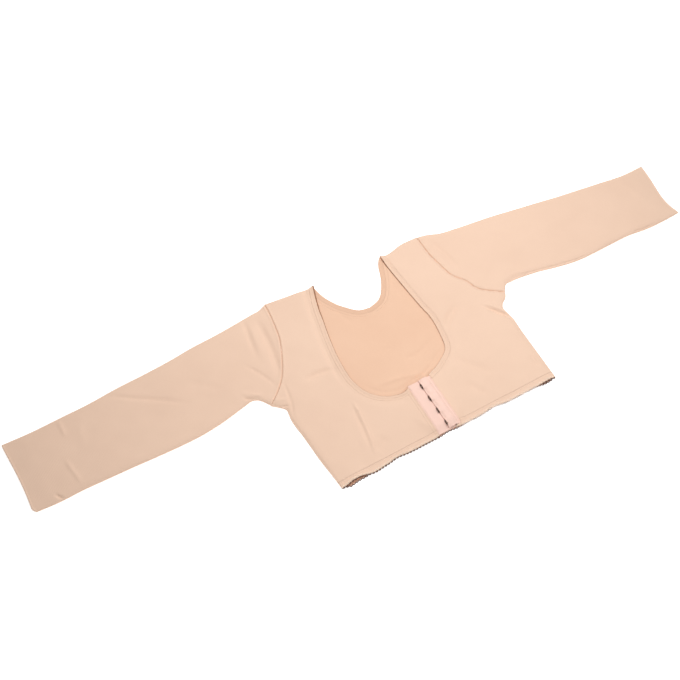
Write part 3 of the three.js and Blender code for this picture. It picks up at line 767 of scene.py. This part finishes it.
def knit(name, light, dark, course=0.95, wale=0.8, turn=0.0, bump=0.22, rough=0.82):
    """A fine knit: rows of loops as bump, a mottled dye and a soft sheen."""
    knitted = Surface(name)
    place_at = knitted.add("TexCoord").outputs["Object"]
    where = knitted.add("Mapping", place_at, Rotation=(0, 0, math.radians(turn))).outputs["Vector"]
    cloud = knitted.add("TexNoise", where, Scale=9.0, Detail=4.0, Roughness=0.55).outputs["Fac"]
    speck = knitted.add("TexNoise", where, Scale=620.0, Detail=2.0, Roughness=0.6).outputs["Fac"]
    blend = knitted.add("Mix", Factor=0.35)
    blend.data_type = "FLOAT"
    knitted.tree.links.new(cloud, blend.inputs[2])
    knitted.tree.links.new(speck, blend.inputs[3])
    knitted.dye(blend.outputs[0], (dark, light), (0.36, 0.62))

    loops = []
    for direction, pitch in (("X", wale), ("Y", course)):
        wave = knitted.add(
            "TexWave", where, Scale=1 / (pitch * MM) / 20 * math.pi,
            Distortion=0.9, Detail=1.0, Detail_Scale=2.0,
        )
        wave.bands_direction = direction
        loops.append(wave.outputs["Fac"])
    weave = knitted.math("MULTIPLY", *loops)
    knitted.emboss(knitted.math("MULTIPLY_ADD", speck, 0.5, weave), bump, 0.35)
    settings(
        knitted.shader, Roughness=rough, Sheen_Weight=0.25, Sheen_Roughness=0.4,
        Sheen_Tint=(1.0, 0.9, 0.82, 1), Specular_IOR_Level=0.25,
    )
    return knitted.material


def plain_thread(name, colour, rough=0.6):
    """Twisted thread: fine diagonal ply as bump over a slightly uneven dye."""
    twisted = Surface(name)
    place_at = twisted.add("TexCoord").outputs["Object"]
    ply = twisted.add("TexWave", place_at, Scale=500.0)
    ply.bands_direction = "DIAGONAL"
    twisted.emboss(ply.outputs["Fac"], 0.4, 0.1)
    uneven = twisted.add("TexNoise", place_at, Scale=180.0, Detail=2.0).outputs["Fac"]
    twisted.dye(uneven, ([c * 0.86 for c in colour], colour), (0.35, 0.65))
    settings(twisted.shader, Roughness=rough, Sheen_Weight=0.2)
    return twisted.material


def wire_metal(name):
    """Dark plated wire with a rubbed, uneven finish."""
    plated = Surface(name)
    place_at = plated.add("TexCoord").outputs["Object"]
    wear = plated.add("TexNoise", place_at, Scale=900.0, Detail=3.0).outputs["Fac"]
    plated.dye(wear, ((0.05, 0.032, 0.025), (0.2, 0.14, 0.11)), (0.3, 0.75))
    plated.emboss(wear, 0.2, 0.05)
    settings(plated.shader, Metallic=1.0, Roughness=0.38)
    return plated.material


BEIGE = (0.862, 0.616, 0.467), (0.832, 0.587, 0.443)
KNIT = knit("knit", *BEIGE)
KNIT_SLEEVE = knit("knit_sleeve", *BEIGE, turn=90)
# partly painted light: the wrong side's own tone, dyed warmer and more orange for light shining
# through the cloth
KNIT_INSIDE_GLOW = knit("knit_inside", (0.858, 0.569, 0.404), (0.823, 0.534, 0.374), rough=0.9)
BACK_BINDING = knit("binding_back", (0.80, 0.52, 0.365), (0.77, 0.49, 0.34), course=0.7, turn=20)
BINDING = knit("binding", (0.85, 0.604, 0.455), (0.82, 0.575, 0.432), course=0.7, turn=20)
EDGING = knit("edging", *BEIGE, course=0.9, wale=1.6)
# partly painted shade: the inside of the back edging is dyed darker and redder than the knit, for
# the shade in the hem's open mouth
SHADED_EDGING_INSIDE = knit("shaded_edging_inside", (0.84, 0.48, 0.32), (0.78, 0.43, 0.28), course=0.9, wale=1.6)
TAPE = knit("tape", (0.95, 0.665, 0.565), (0.92, 0.635, 0.535), course=0.5, wale=0.5, bump=0.3)
THREAD = plain_thread("thread", (0.76, 0.54, 0.39))
FINE_THREAD = plain_thread("fine_thread", (0.9, 0.65, 0.5))
# partly painted highlight: the loops' thread is dyed paler than the knit so they show as bright
# spots along the picot edge
PICOT = plain_thread("picot_highlight_thread", (0.97, 0.80, 0.64), 0.5)
# painted shadow: the dark thread of the cords that stand for the shade along the scalloped hems
SHADE_CORD = plain_thread("picot_shade_cord", (0.14, 0.055, 0.03), 0.8)
# painted shade: the dark thread of the neck cords, which stand for the shadow under the front neck
# edges
NECK_SHADE_THREAD = plain_thread("neck_shade_thread", (0.4, 0.18, 0.09), 0.8)
METAL = wire_metal("hook_metal")

# The cloth of the body
front_cloth, bindings, edgings = {}, {}, {}
for half in HALVES:
    name = half["name"]
    grid = panel_grid(half, half["front_neck"], FRONT_NECK_COUNT, FRONT_ACROSS)
    front_cloth[name] = cloth(
        "front_" + name, [grid], top_height, top_under, KNIT, ["front_panel_" + name]
    )
    bindings[name] = cloth(
        "binding_" + name, [binding_grid(half, half["front_neck"])], top_height, top_under,
        BINDING, ["neck_binding_" + name],
    )
back_cloth = cloth(
    "back", [panel_grid(half, half["back_neck"], BACK_NECK_COUNT, BACK_ACROSS) for half in HALVES],
    back_height, tip_lift, KNIT_INSIDE_GLOW, ["back_panel"],
)


def back_binding_height(points):
    d = np.min([distance_to(points, half["back_neck"])[0] for half in HALVES], axis=0)
    return back_height(points) + EDGE_LIFT * bell(d, 1.3, 1.5)


bindings["back"] = cloth(
    "binding_back", [binding_grid(half, half["back_neck"]) for half in HALVES],
    back_binding_height, tip_lift, BACK_BINDING, ["neck_binding_back"],
)


# Hem edging: a narrow elastic band with loops of thread along its foot
def edging_grid(hem, start, end, leans=(0, 0), width=EDGING_WIDTH, rows=8):
    count = 4 * round(abs(end - start) / PICOT_PITCH)
    low = spaced([[start, 0.0], [end, 0.0]], count)
    low[:, 1] = hem(low[:, 0])
    high = spaced([[start + leans[0], width], [end + leans[1], width]], count)
    return grid_between(low, high, rows, 0)


def hem_lean(half):
    return above(half["side"], EDGING_WIDTH)[0][0] - half["side"][0][0]


def edging_relief(points):
    scallop = np.cos(points[:, 0] * 2 * math.pi / PICOT_PITCH)
    return 0.3 * bell(points[:, 1], 1, 1) * (1 + 0.5 * scallop)


for half in HALVES:
    name = half["name"]
    start, end = half["tape"] + half["sign"] * SEWN, half["side"][0][0]
    edgings[name] = cloth(
        "edging_" + name, [edging_grid(front_hem, start, end, (0, hem_lean(half)))],
        lambda p: top_height(p) + edging_relief(p), top_under,
        EDGING, ["hem_edging_" + name],
    )

# The left edging runs on below the hook tape, up to the eye tape
FOOT_FROM = CLOSURE_AT + TAPE_LAP + SEWN
grid = edging_grid(front_hem, FOOT_FROM, LEFT["tape"], width=HOOK_TAPE_FOOT - SEWN, rows=4)
edgings["foot"] = cloth("edging_foot", [grid], top_height, top_under, EDGING)
CORNERS = RIGHT["side"][0][0], LEFT["side"][0][0]
# the back edging wears the darker, redder dye of painted shade
edgings["back"] = cloth(
    "edging_back", [edging_grid(back_hem, *CORNERS, (hem_lean(RIGHT), hem_lean(LEFT)))],
    lambda p: back_height(p) + 0.5 * edging_relief(p), tip_lift,
    SHADED_EDGING_INSIDE, ["hem_edging_back"],
)

# Sleeves: tubes pressed flat, open at both ends
NOSE_ANGLES = [67.5, 45, 22.5, 0, -22.5, -45, -67.5]
NOSE = EDGE_TOP / 2
SLEEVE_RINGS, SLEEVE_ACROSS = 230, 76


def sleeve_mesh(half):
    along = np.linspace(0, 1, SLEEVE_RINGS + 1)
    along = mix(along, (1 - np.cos(np.pi * along)) / 2, 0.35)
    width = np.linalg.norm(
        sleeve_point(half, along, np.ones_like(along))
        - sleeve_point(half, along, np.zeros_like(along)),
        axis=1,
    )
    edge = NOSE / width
    t = np.linspace(0, 1, SLEEVE_ACROSS + 1)
    t = mix(t, (1 - np.cos(np.pi * t)) / 2, 0.7)
    across = edge[:, None] + (1 - 2 * edge)[:, None] * t[None, :]
    along_grid = np.repeat(along[:, None], len(t), axis=1)
    plan = sleeve_point(half, along_grid, across)
    flat = plan.reshape(-1, 2)
    top = top_height(flat).reshape(across.shape)

    def nose(radius, far):
        """The rounded edge of a layer, down at the far edge and up again at the near one."""
        columns = []
        for angle in NOSE_ANGLES if far else NOSE_ANGLES[::-1]:
            a = math.radians(angle)
            inset = (NOSE - radius * math.cos(a)) / width
            p = sleeve_point(half, along, 1 - inset if far else inset)
            columns.append(np.column_stack([p, np.full(len(p), NOSE + radius * math.sin(a))]))
        return np.stack(columns, axis=1)

    def shell(radius, top_z, bottom_z):
        """Upper layer, nose, lower layer and nose, all round."""
        upper = np.concatenate([plan, top_z[..., None]], axis=2)
        lower = np.concatenate([plan[:, ::-1], np.full((*across.shape, 1), bottom_z)], axis=2)
        return np.concatenate([upper, nose(radius, True), lower, nose(radius, False)], axis=1)

    outer = shell(NOSE, top, 0.0)
    inner = shell(NOSE - CLOTH, top - CLOTH, CLOTH)
    way = outer[-1] - outer[-2]
    way[:, 2] = 0
    way /= np.linalg.norm(way, axis=1, keepdims=True)
    cuff = (outer[-1] + inner[-1]) / 2 + 0.45 * way
    rings = np.concatenate([outer, cuff[None], inner[::-1]])
    count, size = rings.shape[:2]
    i = np.arange(size)
    j = (i + 1) % size
    faces = []
    for r in range(count):
        a, b = r * size, (r + 1) % count * size
        faces.append(np.stack([a + i, a + j, b + j, b + i], axis=1))
    faces = np.vstack(faces)
    if half["sign"] > 0:
        faces = faces[:, ::-1]
    return rings.reshape(-1, 3), faces


for half in HALVES:
    points, faces = sleeve_mesh(half)
    make(
        "sleeve_cloth_" + half["name"], points, faces, KNIT_SLEEVE,
        ["sleeve_" + half["name"]],
    )


# Closure tapes
def fuzzy(points):
    return 0.07 * np.sin(points[:, 1] * 1.9 + 1.3 * np.sin(points[:, 0] * 1.1)) * np.sin(
        points[:, 0] * 1.7 + points[:, 1] * 0.23
    )


def foot_drop(points):
    """How much lower the tapes lie towards the hem."""
    return (LAYER_TOP - HEM_TOP) * (1 - smoothstep(points[:, 1], 0, FOOT_SLOPE))


TAPE_ROWS = [CLOSURE_AT - TAPE_WIDTH + 1.6, CLOSURE_AT + TAPE_WIDTH - 1.6]  # of stitches


def eye_tape_top(points):
    stitched = 0.25 * bell(points[:, 0], TAPE_ROWS[0], 0.6)
    rise = TAPE_BASE + TAPE_THICKNESS - foot_drop(points)
    return rise - stitched + fuzzy(points) * (points[:, 0] < CLOSURE_AT - 5)


HOOKS_AT = [
    (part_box("hook_%d" % i)[0].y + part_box("hook_%d" % i)[1].y) / 2 / MM - HEM_LINE
    for i in range(1, 5)
]
TAPE_SAG = 2.3  # the hook tape's free edge sinks this much between the hooks
HOOK_TAPE_LIP = 1.1  # and covers this much of them


def hook_tape_lift(points):
    step_from = CLOSURE_AT + TAPE_LAP + 2 * SEAM_GAP
    step_to = CLOSURE_AT + TAPE_WIDTH - TAPE_FLAT
    off_hook = np.min([np.abs(points[:, 1] - y) for y in HOOKS_AT], axis=0)
    stiff = smoothstep(points[:, 0], CLOSURE_AT - 0.5, CLOSURE_AT + 4)
    free_edge = HOOK_TAPE_BASE - TAPE_SAG * mix(1, 0.3, stiff) * smoothstep(off_hook, 2.8, 7.5)
    lifted = mix(free_edge, TAPE_BASE, smoothstep(points[:, 0], step_from, step_to))
    return lifted - foot_drop(points)


def hook_tape_top(points):
    stitched = 0.25 * bell(points[:, 0], TAPE_ROWS[1], 0.6)
    return hook_tape_lift(points) + TAPE_THICKNESS - stitched + fuzzy(points)


def tape(name, start, end, low, over, under, hides):
    foot = spaced([[start, low], [end, low]], 36)
    head = spaced([[start, FRONT_NECK_HEIGHT], [end, FRONT_NECK_HEIGHT]], 36)
    return cloth(name, [grid_between(foot, head, 110, 0)], over, under, TAPE, hides, 0.35)


eye_strip = tape(
    "eye_strip", CLOSURE_AT - TAPE_WIDTH, CLOSURE_AT + TAPE_LAP, EYE_TAPE_FOOT, eye_tape_top,
    lambda p: TAPE_BASE - foot_drop(p), ["eye_tape"],
)
hook_strip = tape(
    "hook_strip", CLOSURE_AT - HOOK_TAPE_LIP, CLOSURE_AT + TAPE_WIDTH, HOOK_TAPE_FOOT,
    hook_tape_top, hook_tape_lift, ["hook_tape"],
)


# Thread: stitches and picot loops
NECK_THREAD, FINE_STITCH, TAPE_THREAD = 0.17, 0.1, 0.2  # radii of the stitches
# the cord is a dark tube of painted shadow along the hem's edge
LOOP_RADIUS, SHADE_CORD_RADIUS = 0.5, 0.72
STITCH_PITCH, CLOSE_PITCH, TAPE_PITCH, HEM_PITCH = 2.9, 2.6, 2.4, 1.6
STITCH_ALONG = np.array([0.0, 0.1, 0.5, 0.9, 1.0])  # places along a stitch
STITCH_SWELL = np.array([0.4, 0.85, 1.0, 0.85, 0.4])  # and its radius there
STEPS, STEPS_SHOWN = 8, 6  # a stitch shows for six eighths of its pitch


def tubes(tracks, radius, sides=6):
    """Threads along three-dimensional tracks of equal counts, as one mesh. The radius is one
    value or one for each point of a track."""
    radius = np.broadcast_to(radius, len(tracks[0]))[:, None]
    points, faces = [], []
    for track in tracks:
        way = np.gradient(track, axis=0)
        way /= np.linalg.norm(way, axis=1, keepdims=True)
        side = np.cross(way, [0, 0, 1.0])
        side /= np.linalg.norm(side, axis=1, keepdims=True)
        up = np.cross(side, way)
        base = len(points) * len(track) * sides
        ring = []
        for k in range(sides):
            angle = 2 * math.pi * k / sides
            ring.append(track + radius * (math.cos(angle) * side + math.sin(angle) * up))
        points.append(np.stack(ring, axis=1).reshape(-1, 3))
        for s in range(len(track) - 1):
            row = base + s * sides
            for k in range(sides):
                n = (k + 1) % sides
                faces.append([row + k, row + n, row + sides + n, row + sides + k])
        faces.append([base + k for k in range(sides)][::-1])
        faces.append([base + (len(track) - 1) * sides + k for k in range(sides)])
    return np.vstack(points), faces


def stitch_row(line, height, pitch):
    """Start and end points of the stitches along a plan line, on a surface."""
    count = round(lengths(line)[-1] / pitch)
    run = spaced(line, count * STEPS)
    track = np.column_stack([run, height(run) + 0.12])
    first = np.arange(count) * STEPS
    return track[first], track[first + STEPS_SHOWN]


def stitches(name, rows, radius, thread):
    """Short round-ended threads, from rows of start and end points."""
    starts, ends = [np.vstack([row[k] for row in rows]) for k in (0, 1)]
    tracks = starts[:, None] + (ends - starts)[:, None] * STITCH_ALONG[:, None]
    points, faces = tubes(tracks, radius * STITCH_SWELL)
    return make(name, points, faces, thread)


def offset_line(line, distance, trim=3):
    return beside(spaced(line, 160), distance)[trim:-trim]


for half, thread in ((RIGHT, THREAD), (LEFT, FINE_THREAD)):
    name, line, inward = half["name"], half["front_neck"], -half["sign"]
    rows = [
        stitch_row(offset_line(line, inward * d, 4), top_height, STITCH_PITCH) for d in NECK_ROWS
    ]
    stitches("neck_stitches_" + name, rows, NECK_THREAD, thread)
rows = []
for half in HALVES:
    line = offset_line(half["back_neck"], -half["sign"] * BACK_BAND, 2)
    rows.append(stitch_row(line, back_height, STITCH_PITCH))
stitches("neck_stitches_back", rows, NECK_THREAD, THREAD)

for half in HALVES:
    name, line = half["name"], offset_line(half["armhole"], half["sign"] * ARMHOLE_ROW, 5)
    row = stitch_row(line, top_height, CLOSE_PITCH)
    stitches("armhole_stitches_" + name, [row], FINE_STITCH, FINE_THREAD)

rows = []
for x in FOLD_LINES:
    line = np.array([[x, BAND_TOP], [x, FRONT_NECK_HEIGHT - BINDING_WIDTH]])
    rows.append(stitch_row(line, top_height, CLOSE_PITCH))
closure_stitches = stitches("closure_stitches", rows, TAPE_THREAD, THREAD)
rows = []
for x, over in zip(TAPE_ROWS, (eye_tape_top, hook_tape_top)):
    line = np.array([[x, HOOK_TAPE_FOOT + 2], [x, FRONT_NECK_HEIGHT - 2]])
    rows.append(stitch_row(line, over, TAPE_PITCH))
tape_stitches = stitches("tape_stitches", rows, TAPE_THREAD, THREAD)

# A zigzag row along each front edging
for half in HALVES:
    name, sign = half["name"], half["sign"]
    start, end = half["tape"] + sign, half["side"][0][0] - 3 * sign
    count = round(abs(end - start) / HEM_PITCH)
    x = np.linspace(start, end, count + 1)
    plan = np.column_stack([x, EDGING_WIDTH - np.where(np.arange(count + 1) % 2, 3.2, 0.8)])
    track = np.column_stack([plan, top_height(plan) + 0.02])
    row = track[:-1], track[1:]
    stitches("hem_stitches_" + name, [row], FINE_STITCH, FINE_THREAD)


def picot_loops(name, hem, start, end, height):
    """A row of thread loops that lie on the edging along the hem, dyed paler than the knit: real
    loops, their pale colour partly painted highlight.
    """
    count = round(abs(end - start) / PICOT_PITCH)
    feet = np.linspace(start, end, count + 1)
    tracks = []
    for a, b in zip(feet[:-1], feet[1:]):
        t = np.linspace(0, math.pi, 9)
        x = mix(a, b, 0.5) - np.cos(t) * (b - a) * 0.4
        y = hem(x) - 0.5 + np.sin(t) * 2.8
        tracks.append(np.column_stack([x, y, height(np.column_stack([x, y])) + 0.15]))
    points, faces = tubes(tracks, LOOP_RADIUS)
    return make(name, points, faces, PICOT)


def picot_shade_cord(name, hem, start, end, height):
    """A dark cord of painted shadow that scallops along the very edge of the hem, standing for the
    shade in the gap under the picot edge.
    """
    count = round(abs(end - start) / PICOT_PITCH)
    x = np.linspace(start, end, 8 * count + 1)
    scallop = np.abs(np.sin(np.linspace(0, count * math.pi, len(x))))
    y = hem(x) + 0.4 - 1.15 * PICOT_DEPTH * scallop
    edge = np.column_stack([x, np.maximum(hem(x), 0.3)])
    track = np.column_stack([x, y, height(edge) - 0.6])
    thinned = stretches(x, SHADE_CORD_FINE) * (0.62 + 0.2 * pucker(x, 23.0, 0.5))
    radius = SHADE_CORD_RADIUS * (1 - thinned)
    points, faces = tubes([track], radius)
    return make(name, points, faces, SHADE_CORD)


def neck_shade_cord(half, low, high, below):
    """A dark cord of painted shade along the edge of the binding, standing for the shadow in the
    gap under it, thickest at the shoulder.
    """
    line = offset_line(half["front_neck"], half["sign"] * 0.3, 1)
    track = np.column_stack([line, top_height(line) - below])
    radius = mix(low, high, smoothstep(line[:, 1], 140, NECK_HEIGHT) ** 2)
    points, faces = tubes([track], radius)
    return make("neck_shade_cord_" + half["name"], points, faces, NECK_SHADE_THREAD)


# the neck cords are dark tubes of painted shade along the front neck edges
neck_shade_cords = {"right": neck_shade_cord(RIGHT, 0.25, 1.5, 0.8), "left": neck_shade_cord(LEFT, 0.04, 0.26, 0.9)}
# dark cords of painted shadow run along the front and back hems
picots, hem_shade_cords = {}, {}
for half in HALVES:
    name = half["name"]
    start, end = half["tape"] if half is RIGHT else FOOT_FROM, half["side"][0][0]
    picots[name] = picot_loops("picots_" + name, front_hem, start, end, top_height)
    hem_shade_cords[name] = picot_shade_cord("picot_shade_cord_" + name, front_hem, start, end, top_height)
hem_shade_cords["back"] = picot_shade_cord("picot_shade_cord_back", back_hem, *CORNERS, back_height)

for name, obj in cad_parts.items():
    if name.startswith(("hook_", "eye_")) and not name.endswith("tape"):
        obj.data.materials.clear()
        obj.data.materials.append(METAL)


# What each sheet of cloth was cut to
def cut(line):
    """The flat size that an outline was cut to, and its area."""
    size = (line.max(axis=0) - line.min(axis=0)) * MM
    x, y = line[:, 0], line[:, 1]
    area = abs(float(np.sum(x * np.roll(y, -1) - y * np.roll(x, -1)))) / 2 * MM * MM
    return (float(size[0]), float(size[1])), area


for half in HALVES:
    name = half["name"]
    inner = inner_edge(half, half["front_neck"], FRONT_NECK_COUNT)
    flat, area = cut(np.vstack([inner, panel_edge(half)[::-1]]))
inner = [inner_edge(half, half["back_neck"], BACK_NECK_COUNT) for half in HALVES]
outline = np.vstack([inner[0], panel_edge(RIGHT)[::-1], panel_edge(LEFT), inner[1][::-1]])
flat, area = cut(outline)

# Floor, light and camera
FLOOR_HALF, FLOOR_DROP = 6.0, 0.0002
h = FLOOR_HALF
mesh = bpy.data.meshes.new("floor")
mesh.from_pydata([(-h, -h, 0), (h, -h, 0), (h, h, 0), (-h, h, 0)], [], [(0, 1, 2, 3)])
floor = bpy.data.objects.new("floor", mesh)
floor.location.z = -FLOOR_DROP
bpy.context.scene.collection.objects.link(floor)
pale = Surface("floor")
settings(
    pale.shader, Base_Color=(0.92, 0.92, 0.92, 1), Roughness=0.9,
    Emission_Color=(1, 1, 1, 1), Emission_Strength=0.6,
)
mesh.materials.append(pale.material)


def soft_light(name, power, size, at):
    """A square light that points at the origin."""
    data = bpy.data.lights.new(name, "AREA")
    data.energy, data.size = power, size
    lamp = bpy.data.objects.new(name, data)
    lamp.location = at
    lamp.rotation_euler = (-Vector(at)).to_track_quat("-Z", "Y").to_euler()
    bpy.context.scene.collection.objects.link(lamp)


soft_light("key", 9.7, 0.6, (0.24, 0.4, 1.1))
soft_light("fill", 2.1, 0.5, (-0.05, -0.6, 0.8))

scene = bpy.context.scene
world = bpy.data.worlds.new("world")
world.use_nodes = True
settings(world.node_tree.nodes["Background"], Color=(1, 1, 1, 1), Strength=0.35)
scene.world = world
scene.view_settings.view_transform = "Standard"

# The camera that the photograph's perspective gives
ELEVATION = math.radians(57.89)
AZIMUTH = math.radians(-28.89)
DISTANCE = 1.1747
TARGET = Vector((-0.0674, 0.0488, 0.0))
back = Vector((
    math.sin(AZIMUTH) * math.cos(ELEVATION),
    -math.cos(AZIMUTH) * math.cos(ELEVATION),
    math.sin(ELEVATION),
))
lens = bpy.data.cameras.new("camera")
lens.lens, lens.sensor_width = 41.69, 36.0
lens.clip_start, lens.clip_end = 0.05, 50.0
camera = bpy.data.objects.new("camera", lens)
camera.location = TARGET + back * DISTANCE
camera.rotation_mode = "QUATERNION"
camera.rotation_quaternion = (-back).to_track_quat("-Z", "Y")
scene.collection.objects.link(camera)
scene.camera = camera
